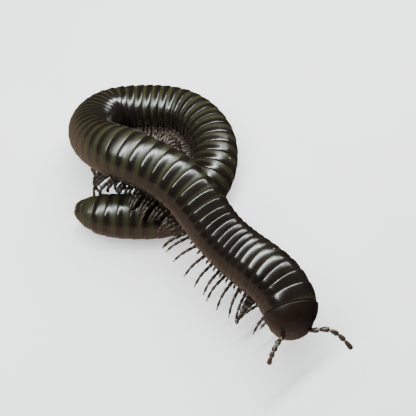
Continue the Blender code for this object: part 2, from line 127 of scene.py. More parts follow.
# %% Thickness, roll and rings
DIAMETER_STOPS = (
    (0.0, 14.4), (9.0, 14.7), (16.0, 15.0), (25.0, 14.5), (34.0, 13.9), (44.0, 14.3), (55.0, 14.6),
    (70.0, 14.6), (84.0, 13.7), (110.0, 13.4), (128.0, 13.5), (142.0, 14.0), (155.0, 13.6),
    (178.0, 13.1), (186.0, 12.6), (191.0, 11.5), (194.5, 9.0), (197.2, 5.6), (198.4, 2.8),
)
ROLL_STOPS = (
    (0.0, 0.0), (60.0, 0.0), (95.0, 48.0), (115.0, 55.0), (160.0, 55.0), (175.0, 45.0), (198.0, 40.0),
)
PITCH_STOPS = (
    (2, 3.7), (3, 2.7), (6, 2.7), (8, 1.85), (10, 2.0), (13, 2.4), (16, 2.9), (18, 3.4), (21, 3.4),
    (24, 2.6), (25, 2.7), (27, 3.1), (29, 3.0), (32, 1.9), (35, 2.25), (38, 2.15), (40, 2.6),
    (41, 2.7), (44, 2.25), (49, 2.4), (53, 3.0), (56, 3.15), (67, 3.3),
)
LAST_RING = 68
COLLUM_REAR = 7.1
TAIL_RING_START = 192.2
BELLY_FLATTENING = 0.05


def at_stops(stops, places):
    """Value of a table of stops at these places or rings."""
    where, values = zip(*stops)
    return np.interp(places, where, values)


def ring_edges():
    """Place of each ring's front edge, and last the rear edge of the last ring."""
    pitches = at_stops(PITCH_STOPS, np.arange(2, LAST_RING + 1))
    pitches = pitches * (TAIL_RING_START - COLLUM_REAR) / pitches.sum()
    return COLLUM_REAR + np.concatenate(([0.0], np.cumsum(pitches)))


EDGES = ring_edges()


def ring_start(ring):
    return float(EDGES[ring - 2])


def radius_at(places):
    return at_stops(DIAMETER_STOPS, places) / 2


print("rings behind the collum:", len(EDGES) - 1)

# %% [markdown]
# ## Directions round the body
#
# At each place the body has a headward direction, a back and a right side. The back is
# straight up, squared to the line, and then turned by the roll. With these three, a point on
# the skin is a radius and an angle, and all the rings can be worked out at once.


# %% Directions round the body
def body_frame(places):
    """Origin, right side, back and headward directions, one row for each place."""
    places = np.asarray(places, dtype=float)
    headward = -axis.read(axis.headings, np.clip(places, 0.0, axis.length))
    headward /= np.linalg.norm(headward, axis=-1, keepdims=True)
    upright = np.array((0.0, 0.0, 1.0))
    back = upright - headward * headward[..., 2:3]
    back /= np.linalg.norm(back, axis=-1, keepdims=True)
    right = np.cross(headward, back)
    roll = np.radians(at_stops(ROLL_STOPS, places))[..., None]
    rolled_right = right * np.cos(roll) + np.cross(headward, right) * np.sin(roll)
    rolled_back = back * np.cos(roll) + np.cross(headward, back) * np.sin(roll)
    return axis.at(places), rolled_right, rolled_back, headward


def skin_points(places, angles, radii):
    """Points on the body for arrays of places, angles from the back, and radii."""
    origin, right, back, _ = body_frame(places)
    flat = 1 - BELLY_FLATTENING * np.clip(-np.cos(angles), 0.0, None) ** 3
    across = (np.sin(angles) * radii)[..., None]
    upward = (np.cos(angles) * radii * flat)[..., None]
    points = origin + right * across + back * upward
    points[..., 2] = np.clip(points[..., 2], 0.0, None)
    return points


HEAD_FACES_AS_AT = 7.4
HEAD_SET_BACK = 1.4


def in_head(points):
    """Turns head measures (across, ahead, above, in millimetres) into places in the model."""
    origin, right, back, headward = (row[0] for row in body_frame([HEAD_FACES_AS_AT]))
    origin = origin - headward * HEAD_SET_BACK
    points = np.asarray(points, dtype=float)
    return origin + points[..., 0:1] * right + points[..., 1:2] * headward + points[..., 2:3] * back


print("head looks towards", np.round(body_frame([HEAD_FACES_AS_AT])[3][0], 2))

# %% [markdown]
# ## From rows of points to a mesh
#
# Rings, legs, feelers and shields are all tubes of a kind. They could be modelled by hand from
# cylinders, but here every point is known. So each is a sheet of points in rows and columns
# that closes round. A helper joins neighbours with faces, closes the ends with a fan, and
# stores on each point what the finish needs, such as how far along its ring it lies.


# %% From rows of points to a mesh
def sheet_faces(rows, columns, first):
    """Four-sided faces over rows and columns of points, closed round."""
    row, column = np.meshgrid(np.arange(rows - 1), np.arange(columns), indexing="ij")
    after = (column + 1) % columns
    here = row * columns
    corners = (here + column, here + after, here + columns + after, here + columns + column)
    return np.stack([corner.ravel() for corner in corners], axis=1) + first


def show(item):
    """Puts an object into the scene."""
    bpy.context.scene.collection.objects.link(item)
    return item


def make_mesh(name, points, faces, finish, values=None):
    """Object from points in millimetres, faces and named values for each point."""
    data = bpy.data.meshes.new(name)
    data.from_pydata((np.asarray(points) * MM).tolist(), [], faces)
    for title, numbers in (values or {}).items():
        numbers = np.asarray(numbers, dtype=np.float32)
        kind, field = ("FLOAT_VECTOR", "vector") if numbers.ndim == 2 else ("FLOAT", "value")
        data.attributes.new(title, kind, "POINT").data.foreach_set(field, numbers.ravel())
    data.materials.append(finish)
    data.shade_smooth()
    return show(bpy.data.objects.new(name, data))


class MeshParts:
    """Gathers many small sheets into one mesh."""

    def __init__(self):
        self.points = []
        self.faces = []
        self.values = {}
        self.count = 0

    def add_sheet(self, sheet, values):
        """Adds a sheet with a fan over each end, and its values for each point."""
        sheet = np.asarray(sheet)
        rows, columns = sheet.shape[:2]
        flat = sheet.reshape(-1, 3)
        self.faces += sheet_faces(rows, columns, self.count).tolist()
        points = [flat]
        for row in (0, rows - 1):
            middle = self.count + len(flat) + len(points) - 1
            ring = self.count + row * columns + np.arange(columns)
            fan = [[int(a), int(b), middle] for a, b in zip(ring, np.roll(ring, -1))]
            self.faces += fan if row else [face[::-1] for face in fan]
            points.append(sheet[row].mean(axis=0, keepdims=True))
        block = np.concatenate(points)
        for title, numbers in values.items():
            numbers = np.asarray(numbers)
            numbers = numbers.reshape(-1, *numbers.shape[2:])
            ends = [numbers] + [numbers[:1]] * (len(points) - 1)
            self.values.setdefault(title, []).append(np.concatenate(ends))
        self.points.append(block)
        self.count += len(block)

    def build(self, name, finish):
        values = {title: np.concatenate(rows) for title, rows in self.values.items()}
        item = make_mesh(name, np.concatenate(self.points), self.faces, finish, values)
        return face_outwards(item)


def face_outwards(item):
    """Turns all faces so that they look out of the piece."""
    mesh = bmesh.new()
    mesh.from_mesh(item.data)
    bmesh.ops.recalc_face_normals(mesh, faces=mesh.faces[:])
    mesh.to_mesh(item.data)
    mesh.free()
    return item


TUBE_LEAN = np.array((0.3, 0.2, 1.0))


def tube(centres, radii, columns):
    """Sheet of points round a bent line, one radius for each row."""
    along = np.gradient(centres, axis=0)
    along /= np.linalg.norm(along, axis=1)[:, None]
    across = np.cross(along, TUBE_LEAN)
    across /= np.linalg.norm(across, axis=1)[:, None]
    other = np.cross(along, across)
    turn = (math.tau * np.arange(columns) / columns)[None, :, None]
    circle = across[:, None] * np.cos(turn) + other[:, None] * np.sin(turn)
    return centres[:, None] + circle * np.asarray(radii)[:, None, None]


def dress(item, node):
    """Ties a finished piece to the model's root and hides the plain solid of the node it stands for."""
    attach(item, "root")
    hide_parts(node)
    print(item.name, "stands for", node, "with", len(item.data.polygons), "faces")


def dress_sheet(name, finish, node, slot, sheet, values):
    """Makes a piece of one sheet and dresses it."""
    parts = MeshParts()
    parts.add_sheet(sheet, values)
    dress(parts.build(name, finish), node)


# %% [markdown]
# ## Nodes for the finishes
#
# Each finish is a small net of shader nodes. Nets wired by hand in the editor are hard to read
# later. These helpers place a node, set its numbers and join it up, so that the finishes read
# as recipes: a colour for each part, mottled by noise, with gloss and fine relief of its own.


# %% Nodes for the finishes
class Net:
    """A net of shader nodes that is being filled."""

    def __init__(self, tree):
        self.tree = tree

    def node(self, kind, inputs=(), **settings):
        made = self.tree.nodes.new("ShaderNode" + kind)
        for title, value in settings.items():
            setattr(made, title, value)
        for socket, value in dict(inputs).items():
            self.put(made.inputs[socket], value)
        return made

    def put(self, socket, value):
        """Joins another node's output to a socket, or sets the socket's own value."""
        if hasattr(value, "is_output"):
            self.tree.links.new(value, socket)
        else:
            socket.default_value = value

    def ramp(self, value, low, high, to_low=0.0, to_high=1.0):
        """Fades a value between low and high into one between two others."""
        inputs = {"Value": value, "From Min": low, "From Max": high, "To Min": to_low, "To Max": to_high}
        return self.node("MapRange", inputs).outputs["Result"]

    def blend(self, share, first, second):
        """Mixes two colours, each of them three numbers or another node's output."""
        made = self.node("Mix", data_type="RGBA")
        self.put(made.inputs[0], share)
        for socket, colour in ((6, first), (7, second)):
            self.put(made.inputs[socket], (*colour, 1) if isinstance(colour, tuple) else colour)
        return made.outputs[2]


class Recipe(Net):
    """A material with its nodes."""

    def __init__(self, name):
        self.material = bpy.data.materials.new(name)
        self.material.use_nodes = True
        super().__init__(self.material.node_tree)
        self.shader = self.tree.nodes["Principled BSDF"]
        self.body = self.node("TexCoord").outputs["Object"]

    def value(self, title):
        return self.node("Attribute", attribute_name=title).outputs["Fac"]

    def vector(self, title):
        return self.node("Attribute", attribute_name=title).outputs["Vector"]

    def stretched(self, source, scale):
        return self.node("Mapping", {"Vector": source, "Scale": scale}).outputs["Vector"]

    def noise(self, source, scale, detail, rough=0.55):
        inputs = {"Vector": source, "Scale": scale, "Detail": detail, "Roughness": rough}
        return self.node("TexNoise", inputs).outputs["Fac"]

    def cells(self, scale, scatter):
        """Distance to the nearest of many scattered points."""
        inputs = {"Vector": self.body, "Scale": scale, "Randomness": scatter}
        return self.node("TexVoronoi", inputs).outputs["Distance"]

    def maths(self, operation, first, second):
        return self.node("Math", {0: first, 1: second}, operation=operation).outputs[0]

    def relief(self, *layers):
        """Relief in layers, each with a height, a strength and a distance."""
        normal = None
        for height, strength, distance in layers:
            made = self.node("Bump", {"Height": height, "Strength": strength, "Distance": distance})
            if normal is not None:
                self.put(made.inputs["Normal"], normal)
            normal = made.outputs["Normal"]
        return normal

    def finish(self, colour, roughness, normal, bending):
        """Joins all up. The more the surface bends light, the more strongly it mirrors."""
        inputs = {"Base Color": colour, "Roughness": roughness, "Normal": normal, "IOR": bending}
        for title, value in inputs.items():
            self.put(self.shader.inputs[title], value)
        return self.material


print("finish helpers are ready")

# %% [markdown]
# ## Black and olive cuticle
#
# Each ring has two parts. The front part slides under the ring before it and is a dull olive
# green. A dark red-brown band just behind the rim before it is painted shadow of the step. The
# rear part is thick, smooth and almost black, and ends in a rounded rim that turns red-brown at
# its very edge. Painting an image would fix the bands to one pose. Here each point knows how far
# along its ring it lies (-1 to 0 in the green part, 0 to 1 in the black part) and how green it
# may be, which also carries painted shade at the tail, and the recipe turns that into colour,
# gloss and relief. Lengthwise scratches, fine hoops and a few specks of dust keep the gloss from
# looking like plastic.

# %% Black and olive cuticle
OLIVE_GREENS = ((0.026, 0.029, 0.011), (0.050, 0.054, 0.020))
HOOP_GREEN = (0.022, 0.023, 0.010)
RING_BLACKS = ((0.0075, 0.0052, 0.0042), (0.0145, 0.0102, 0.0082))
# Painted shadow of the step: dark red-brown at the front of each green part, behind the rim.
STEP_SHADOW_BROWN = (0.020, 0.009, 0.006)
RIM_BROWN = (0.050, 0.028, 0.017)
DUST_GREY = (0.42, 0.40, 0.34)
OLIVE_ROUGHNESS = 0.30
BLACK_ROUGHNESS = 0.16
DUST_ROUGHNESS = 0.4
RING_BENDING = 1.56


def ring_cuticle():
    recipe = Recipe("olive_cuticle")
    zone = recipe.value("zone")
    skin = recipe.vector("skin")
    cloud = recipe.noise(recipe.body, 190.0, 5.0)
    fine = recipe.noise(recipe.body, 1500.0, 3.0)
    striae = recipe.noise(recipe.stretched(skin, (60.0, 60.0, 0.9)), 1.0, 3.0, 0.6)
    hoops = recipe.noise(recipe.stretched(skin, (0.7, 0.7, 9.0)), 1.0, 3.0, 0.6)

    olive = recipe.blend(recipe.ramp(cloud, 0.35, 0.65), *OLIVE_GREENS)
    olive = recipe.blend(recipe.ramp(hoops, 0.3, 0.7), olive, HOOP_GREEN)
    black = recipe.blend(recipe.ramp(cloud, 0.3, 0.7), *RING_BLACKS)
    edge = recipe.maths("ADD", zone, recipe.ramp(cloud, 0.3, 0.7, -0.10, 0.10))
    # The olive value also carries painted shade, where the tail lies low or under the front body.
    amount = recipe.maths("MULTIPLY", recipe.ramp(edge, 0.20, -0.42), recipe.value("olive"))
    colour = recipe.blend(amount, black, olive)
    # Painted shadow: the front of the green part, just behind the rim before it, is darkened.
    colour = recipe.blend(recipe.ramp(zone, -1.0, -0.72), STEP_SHADOW_BROWN, colour)
    colour = recipe.blend(recipe.ramp(zone, 0.965, 0.990), colour, RIM_BROWN)
    chosen = recipe.ramp(recipe.noise(recipe.body, 90.0, 1.0), 0.66, 0.68)
    dust = recipe.maths("MULTIPLY", recipe.ramp(recipe.cells(420.0, 1.0), 0.10, 0.05), chosen)
    colour = recipe.blend(dust, colour, DUST_GREY)

    gloss = recipe.ramp(zone, -0.4, 0.2, OLIVE_ROUGHNESS, BLACK_ROUGHNESS)
    rough = recipe.maths("ADD", gloss, recipe.ramp(fine, 0.3, 0.7, -0.02, 0.03))
    rough = recipe.maths("ADD", rough, recipe.maths("MULTIPLY", dust, DUST_ROUGHNESS))
    bumps = ((cloud, 0.007, 0.0004), (striae, 0.03, 0.00005), (hoops, 0.16, 0.00006))
    normal = recipe.relief(*bumps, (fine, 0.007, 0.00002))
    return recipe.finish(colour, rough, normal, RING_BENDING)


OLIVE = ring_cuticle()
print("finish:", OLIVE.name)

# %% [markdown]
# ## The shield's cuticle
#
# The shield behind the head is redder and less glossy than the rings, dark as old leather, with
# a lighter brown line along its margin. It could share the rings' finish, but it mirrors the
# lights far less. So it has a recipe of its own, rougher and with less bending of light.

# %% The shield's cuticle
SHIELD_BROWNS = ((0.0105, 0.0058, 0.0042), (0.015, 0.0082, 0.0058))
MARGIN_BROWN = (0.170, 0.100, 0.066)
SHIELD_BENDING = 1.38


def shield_cuticle():
    recipe = Recipe("black_cuticle")
    cloud = recipe.noise(recipe.body, 170.0, 5.0)
    fine = recipe.noise(recipe.body, 1600.0, 3.0)
    colour = recipe.blend(recipe.ramp(cloud, 0.3, 0.7), *SHIELD_BROWNS)
    colour = recipe.blend(recipe.ramp(recipe.value("margin"), 0.45, 0.80), colour, MARGIN_BROWN)
    rough = recipe.ramp(fine, 0.3, 0.7, 0.33, 0.37)
    normal = recipe.relief((cloud, 0.012, 0.0003), (fine, 0.008, 0.00002))
    return recipe.finish(colour, rough, normal, SHIELD_BENDING)


BLACK = shield_cuticle()
print("finish:", BLACK.name)

# %% [markdown]
# ## Brown cuticle, joints and eyes
#
# Legs, feelers and face are thinner and browner than the rings. At every joint a pale skin
# shows between two dark tubes. A number on each point says how near it is to a joint, and the
# recipe fades the brown to that pale skin. A little light is scattered under it. The eyes are
# clusters of tiny black lenses. Small balls could be laid out for them, but would be too fine
# to see, so the finish draws round cells and raises each of them.

# %% Brown cuticle, joints and eyes
SCATTER_SHARE = 0.12
SCATTER_COLOUR = (0.6, 0.3, 0.15)
SCATTER_DEPTH = 0.0006
LIMB_BENDING = 1.52
LENS_BLACKS = ((0.004, 0.004, 0.004), (0.030, 0.018, 0.012))
LENS_BENDING = 1.5


def limb_cuticle(name, browns, joint_skin, roughness):
    recipe = Recipe(name)
    cloud = recipe.noise(recipe.body, 420.0, 4.0)
    fine = recipe.noise(recipe.body, 2600.0, 3.0)
    colour = recipe.blend(recipe.ramp(cloud, 0.3, 0.7), *browns)
    joint = recipe.maths("ADD", recipe.value("joint"), recipe.ramp(cloud, 0.3, 0.7, -0.08, 0.08))
    colour = recipe.blend(recipe.ramp(joint, 0.30, 0.85), colour, joint_skin)
    rough = recipe.ramp(fine, 0.3, 0.7, roughness - 0.05, roughness + 0.08)
    normal = recipe.relief((cloud, 0.06, 0.0002), (fine, 0.04, 0.00004))
    scatter = {"Weight": SCATTER_SHARE, "Radius": SCATTER_COLOUR, "Scale": SCATTER_DEPTH}
    for title, value in scatter.items():
        recipe.shader.inputs["Subsurface " + title].default_value = value
    return recipe.finish(colour, rough, normal, LIMB_BENDING)


def lens_cuticle():
    recipe = Recipe("eye_cuticle")
    cells = recipe.cells(4600.0, 0.35)
    colour = recipe.blend(recipe.ramp(cells, 0.25, 0.55), *LENS_BLACKS)
    rough = recipe.ramp(cells, 0.2, 0.6, 0.10, 0.35)
    domes = recipe.ramp(cells, 0.0, 0.6, 1.0, 0.0)
    return recipe.finish(colour, rough, recipe.relief((domes, 0.7, 0.00008)), LENS_BENDING)


LEG_BROWNS = ((0.028, 0.018, 0.013), (0.047, 0.031, 0.023))
FEELER_BROWNS = ((0.030, 0.020, 0.015), (0.066, 0.045, 0.035))
# The dark face browns paint the shade under the shield; only the lower edges turn paler.
FACE_BROWNS = ((0.019, 0.010, 0.0075), (0.026, 0.014, 0.010))
LEG_BROWN = limb_cuticle("leg_cuticle", LEG_BROWNS, (0.10, 0.071, 0.052), 0.34)
FEELER_BROWN = limb_cuticle("feeler_cuticle", FEELER_BROWNS, (0.27, 0.20, 0.15), 0.22)
FACE_BROWN = limb_cuticle("face_cuticle", FACE_BROWNS, (0.10, 0.06, 0.04), 0.26)
EYE_BLACK = lens_cuticle()
print("finishes:", LEG_BROWN.name, FEELER_BROWN.name, FACE_BROWN.name, EYE_BLACK.name)

# %% [markdown]
# ## The shape of a ring
#
# From the side a ring is a shallow step. Most rings flare: they rise to a crest close to their
# own rear rim and then fall a little, so that a long light shows on each as a thin bright line.
# A few rings behind the shield are nearly flat and show broad patches of light. A narrow valley
# lies at the front of each ring, a fine suture parts green from black, and the rim is rounded.
# One profile could be drawn and copied, but it changes slowly along the body. So tables give
# every ring its depths in millimetres, over shares of its length.

# %% The shape of a ring
FLARE_STOPS = (
    (2, 0.45), (3, 0.8), (4, 0.3), (5, 0.0), (6, 0.0), (8, 0.5), (9, 0.8), (10, 1.0), (23, 1.0),
    (25, 0.85), (27, 0.75), (31, 1.0),
)
FLARE_RISE_STOPS = (
    (2, 0.38), (3, 0.32), (4, 0.28), (8, 0.32), (12, 0.34), (14, 0.27), (18, 0.30), (20, 0.38),
    (24, 0.38), (28, 0.30), (32, 0.36), (42, 0.34), (48, 0.27), (52, 0.25), (58, 0.22), (62, 0.19),
    (66, 0.17), (68, 0.14),
)
FLARE_SHAPE = 1.35
FLARE_CREST = 0.87
FLARE_FALL = 0.055
FLAT_BEND_STOPS = ((2, 0.15), (13, 0.15), (18, 0.19), (26, 0.19), (30, 0.15))
FLAT_CREST = 0.68
SUTURE_STOPS = ((2, 0.0), (15, 0.0), (18, 0.02), (68, 0.02))
SUTURE_WIDTH = 0.10
VALLEY_STOPS = (
    (2, 0.06), (4, 0.20), (10, 0.20), (14, 0.12), (25, 0.08), (27, 0.04), (34, 0.03), (68, 0.04),
)
VALLEY_WIDTH = 0.06
RIM_FROM = 0.93
RIM_LENGTH = 0.07
RIM_ROUNDING = 0.07
RIM_DEPTH = 0.42


def unit(values):
    """Keeps numbers between 0 and 1."""
    return np.clip(values, 0.0, 1.0)


def ring_radii(ring, zone, part, green, place, pitch):
    """Radius all round one row of a ring: the body's own, less what lies lower."""
    flare = at_stops(FLARE_STOPS, ring)
    rise = np.clip(1 - part / FLARE_CREST, 0.0, None) ** FLARE_SHAPE
    fall = np.clip((part - FLARE_CREST) / (1 - FLARE_CREST), 0.0, None) ** 2
    flared = at_stops(FLARE_RISE_STOPS, ring) * rise + FLARE_FALL * fall
    flat = at_stops(FLAT_BEND_STOPS, ring) / 2 * ((part - FLAT_CREST) * pitch) ** 2
    valley = at_stops(VALLEY_STOPS, ring) * np.exp(-part / VALLEY_WIDTH)
    rim = RIM_ROUNDING * unit((zone - RIM_FROM) / RIM_LENGTH) ** 2
    suture = at_stops(SUTURE_STOPS, ring) * np.exp(-(((part - green) / SUTURE_WIDTH) ** 2))
    return radius_at(place) - flare * flared - (1 - flare) * flat - valley - rim - suture


print("deepest rise of a ring:", max(depth for _, depth in FLARE_RISE_STOPS), "mm")

# %% [markdown]
# ## The rings
#
# A ring could be one tube repeated by an array modifier, but then none would follow the bend.
# Instead each ring is worked out in place. Where the body bends, the far side of the ring is
# stretched and shows more of its green part, while the near side closes up. The black part
# keeps its length, so the green share is whatever is left over. The green fades away on the
# flanks of the front body and on the folded inside of the loop. At the tail the green is turned
# down low on the body and on the rings that lie under the front body; this is painted shade.

# %% The rings
RING_SIDES = 112
RINGS_PER_LENGTH = 7
HAIR_GAP = 0.02
GREEN_STOPS = (
    (2, 0.06), (3, 0.04), (5, 0.06), (6, 0.14), (8, 0.18), (9, 0.10), (14, 0.12), (17, 0.22),
    (18, 0.28), (19, 0.35), (20, 0.42), (21, 0.46), (24, 0.44), (28, 0.40), (32, 0.40), (40, 0.45),
    (50, 0.50), (57, 0.48), (62, 0.54), (68, 0.58),
)
# How green each ring may be. The dip around rings 54 to 58 is painted shadow of the front body lying
# over the tail.
OLIVE_STOPS = (
    (2, 0.6), (3, 0.05), (5, 0.1), (6, 0.5), (8, 0.7), (9, 0.4), (12, 0.4), (16, 0.8), (18, 0.9),
    (22, 0.88), (28, 0.75), (38, 0.72), (44, 0.95), (50, 1.0), (54, 0.7), (58, 0.6), (62, 0.75),
    (68, 0.75),
)
FLANK_STOPS = ((2, 1.0), (18, 0.9), (22, 0.6), (28, 0.2), (32, 0.0))
FLANK_TOP = 0.75
FLANK_FADE = 0.5
FOLDED_FROM = 0.45
FOLDED_FADE = 0.35
FOLDED_STOPS = ((20, 0.0), (24, 1.0), (44, 1.0), (48, 0.3), (52, 0.0))
# Painted shade: from ring 56 on, the green is turned down where the tail lies low.
TAIL_SHADE_STOPS = ((56, 0.0), (60, 0.8), (68, 0.8))
TAIL_SHADE_TOP = 8.5
TAIL_SHADE_DEPTH = 5.0
ZONES = (
    -1.0, -0.92, -0.8, -0.6, -0.35, -0.12, 0.04, 0.18, 0.32, 0.46, 0.58, 0.68, 0.76, 0.83, 0.885,
    0.93, 0.96, 0.983, 1.0,
)
GREEN_LIMITS = (0.03, 0.65)
LEAST_STRETCH = 0.2
angles = math.tau * np.arange(RING_SIDES) / RING_SIDES


def low_shade(heights):
    """Painted shade at the tail: how far the green is turned down, more the lower a point lies."""
    return unit((TAIL_SHADE_TOP - heights) / TAIL_SHADE_DEPTH)


def olive_amounts(ring, heights, stretch):
    """How green a ring may be at each angle, from its heights and its stretch; the heights give painted
    shade at the tail.
    """
    flank = at_stops(FLANK_STOPS, ring) * unit((FLANK_TOP - np.cos(angles)) / FLANK_FADE)
    inward = (1 - stretch) / np.abs(1 - stretch).max()
    folded = unit((inward - FOLDED_FROM) / FOLDED_FADE) * at_stops(FOLDED_STOPS, ring)
    low = low_shade(heights) * at_stops(TAIL_SHADE_STOPS, ring)
    return at_stops(OLIVE_STOPS, ring) * (1 - flank) * (1 - folded) * (1 - low)


def skin_measures(places):
    """Each point's place on an unbent body of radius 1, for scratches and hoops."""
    return np.stack([np.cos(angles), np.sin(angles), places], axis=1)


def ring_rows(ring, first):
    """Rows of one ring from front to rear: points, zones, skin measures and olive amounts."""
    start = ring_start(ring) + (HAIR_GAP if ring == first else 0.0)
    end = ring_start(ring + 1)
    pitch = end - start
    front = skin_points(np.full(RING_SIDES, start), angles, radius_at(start))
    rear = skin_points(np.full(RING_SIDES, end), angles, radius_at(end))
    stretch = np.linalg.norm(rear - front, axis=1) / pitch
    black_share = 1 - at_stops(GREEN_STOPS, ring)
    green = np.clip(1 - black_share / np.maximum(stretch, LEAST_STRETCH), *GREEN_LIMITS)
    rows, zones, skins = [], [], []
    for zone in ZONES:
        part = green * (1 + zone) if zone < 0 else green + (1 - green) * zone
        place = start + pitch * part
        radii = ring_radii(ring, zone, part, green, place, pitch)
        rows.append(skin_points(place, angles, radii))
        zones.append(np.full(RING_SIDES, zone))
        skins.append(skin_measures(place))
    rows.append(skin_points(np.full(RING_SIDES, end), angles, radius_at(end) - RIM_DEPTH))
    zones.append(zones[-1])
    skins.append(skins[-1])
    return rows, zones, skins, [olive_amounts(ring, front[:, 2], stretch)] * len(rows)


lengths = []
for first in range(2, LAST_RING + 1, RINGS_PER_LENGTH):
    last = min(first + RINGS_PER_LENGTH - 1, LAST_RING)
    lengths.append((f"{len(lengths) + 1:02d}", first, last))

for label, first, last in lengths:
    rows, zones, skins, olive_with_painted_shade = [], [], [], []
    for ring in range(first, last + 1):
        for store, found in zip((rows, zones, skins, olive_with_painted_shade), ring_rows(ring, first)):
            store += found
    values = {"zone": zones, "skin": skins, "olive": olive_with_painted_shade}
    dress_sheet(f"rings_{label}", OLIVE, f"body_length_{label}", "olive_cuticle", rows, values)

# %% [markdown]
# ## The line of a leg
#
# A leg leaves the belly beside its middle, runs out under the flank and bends down at the end.
# Bones could pose one leg, but two hundred and fifty need a rule. A leg starts as five points
# in a plane across the body. It is shortened, let down and swung along the body, and last it is
# pushed clear of every stretch of the body and of the floor.

# %% The line of a leg
LEG_ACROSS = (1.5, 2.3, 5.6, 9.4, 12.2)
LEG_BELOW = (-1.5, 0.5, 1.1, 1.0, 3.8)
SWING_CURVE = 1.3
CLEAR_OF_OWN_BODY = 0.45
CLEAR_OF_BODY = 0.75
OWN_STRETCH = 10.0
FLOOR_CLEARANCE = 0.64
LEG_SAMPLES = 60


def push_clear(points, place, spare, own):
    """Moves points out of the body, either its own stretch or all the others."""
    near = np.abs(axis.places - place) < OWN_STRETCH
    chosen = near if own else ~near
    away = points[:, None] - axis.points[chosen][None]
    distance = np.linalg.norm(away, axis=2)
    short = radius_at(axis.places[chosen]) + spare - distance
    worst = short.argmax(axis=1)
    row = np.arange(len(points))
    step = np.clip(short[row, worst], 0.0, None) / distance[row, worst]
    return points + away[row, worst] * step[:, None]


def leg_line(place, side, swing, reach, droop):
    """Line of a leg from root to tip. Reach and droop act only past the hip."""
    origin, right, back, headward = (row[0] for row in body_frame([place]))
    belly = radius_at(place) * (1 - BELLY_FLATTENING)
    hip_across, hip_below = LEG_ACROSS[1], LEG_BELOW[1]
    points = []
    for i, (across, below) in enumerate(zip(LEG_ACROSS, LEG_BELOW)):
        stretch, sink = (reach, reach * droop) if i > 1 else (1.0, 1.0)
        out = i / (len(LEG_ACROSS) - 1)
        point = origin + right * side * (hip_across + (across - hip_across) * stretch)
        point = point - back * (belly + hip_below + (below - hip_below) * sink)
        points.append(point + headward * swing * out**SWING_CURVE)
    points = np.array(points)
    free = push_clear(points[1:], place, CLEAR_OF_OWN_BODY, True)
    points[1:] = push_clear(free, place, CLEAR_OF_BODY, False)
    points[1:, 2] = np.maximum(points[1:, 2], FLOOR_CLEARANCE)
    return SmoothLine(points, LEG_SAMPLES)


print("length of a leg at full reach:", round(leg_line(30.0, 1, 0.0, 1.0, 1.0).length, 1), "mm")

# %% [markdown]
# ## The legs
#
# From the fifth ring on each ring carries two pairs of legs, which step out in waves. Each leg
# is thin and brown, of short articles with a neck between them. It could be seven objects in a
# row, but one tube that narrows at each joint is lighter and has no seams. Tables say how far
# the legs reach and swing along the body. In front they spread in a fan. Under the front body
# they crowd, in the loop they hang down, and there they are stouter, to fill a dense dark band.

# %% The legs
REACH_STOPS = (
    (0, 0.5), (10, 0.5), (12, 0.8), (16, 0.95), (24, 1.0), (39, 1.0), (42, 0.88), (46, 0.73), (71, 0.73),
    (74, 0.78), (78, 1.1), (81, 1.1), (83, 0.86), (91, 0.86), (95, 0.55), (198, 0.5),
)
FIRST_DOUBLE_RING = 5
LEGLESS_LAST_RINGS = 2
SINGLE_PAIR_SHARE = (0.55,)
DOUBLE_PAIR_SHARES = (0.34, 0.80)
SWING_STOPS = (
    (0, 4.0), (12.4, 5.0), (14.9, -0.5), (17, 0.3), (19, 2.0), (22, 4.4), (25, 4.4), (28, 1.2),
    (31, 2.4), (34, 2.0), (36.5, -0.4), (39, -0.4), (46, -2.0), (52, 0.5), (58, -1.5), (64, 0.5),
    (71, -2.0), (76, -3.0), (79, -5.2), (82, -6.6), (90, -6.6), (95, 0.0), (198, 0.0),
)
REACH_RANGE = (0.93, 1.0)
SWING_RANGE = (-0.3, 0.3)
SPREAD_FROM = 23.5
SPREAD_TO = 41.0
TUCKED_CHANCE = 0.85
TUCKED_REACH = 0.35
FAR_SIDE_LONG_TO = 56.0
FAR_SIDE_REACHES = (0.85, 0.45)
CROWD_REACH = (0.85, 1.1)
CROWD_DROOP = (0.9, 2.4)
CROWD_SWING = (-1.0, 1.0)
CROWD_STOUTNESS = 1.22
LOOP_FROM = 96.0
LOOP_TO = 168.0
LOOP_REACH = {-1: (0.42, 0.6), 1: (0.1, 0.3)}
LOOP_DROOP = {-1: (3.5, 5.0), 1: (9.0, 14.0)}
LOOP_SWING = (-1.2, 1.2)
LOOP_STOUTNESS = 1.12
LEG_SHARES = (0.10, 0.16, 0.19, 0.15, 0.14, 0.18, 0.08)
LEG_RADII = np.array((0.48, 0.49, 0.48, 0.44, 0.41, 0.34, 0.18))
LEG_ARTICLE = (
    (0.0, 0.66, 1.0), (0.10, 0.86, 0.55), (0.35, 0.98, 0.0), (0.70, 1.06, 0.0), (0.92, 0.96, 0.35),
)
LEG_COLUMNS = 9
TIP_WIDTH = 0.25
draw = random.Random(7)


def jointed_tube(line, article, shares, radii, columns):
    """Tube of articles along a line. An article's rows are its places, widths and jointness."""
    places, widths, joints = [], [], []
    start = 0.0
    for share, radius in zip(shares, radii):
        for part, width, joint in article:
            places.append((start + part * share) * line.length)
            widths.append(radius * width)
            joints.append(joint)
        start += share
    places.append(line.length)
    widths.append(radii[-1] * TIP_WIDTH)
    joints.append(0.0)
    sheet = tube(line.at(np.array(places)), widths, columns)
    return sheet, np.repeat(np.array(joints)[:, None], columns, axis=1)


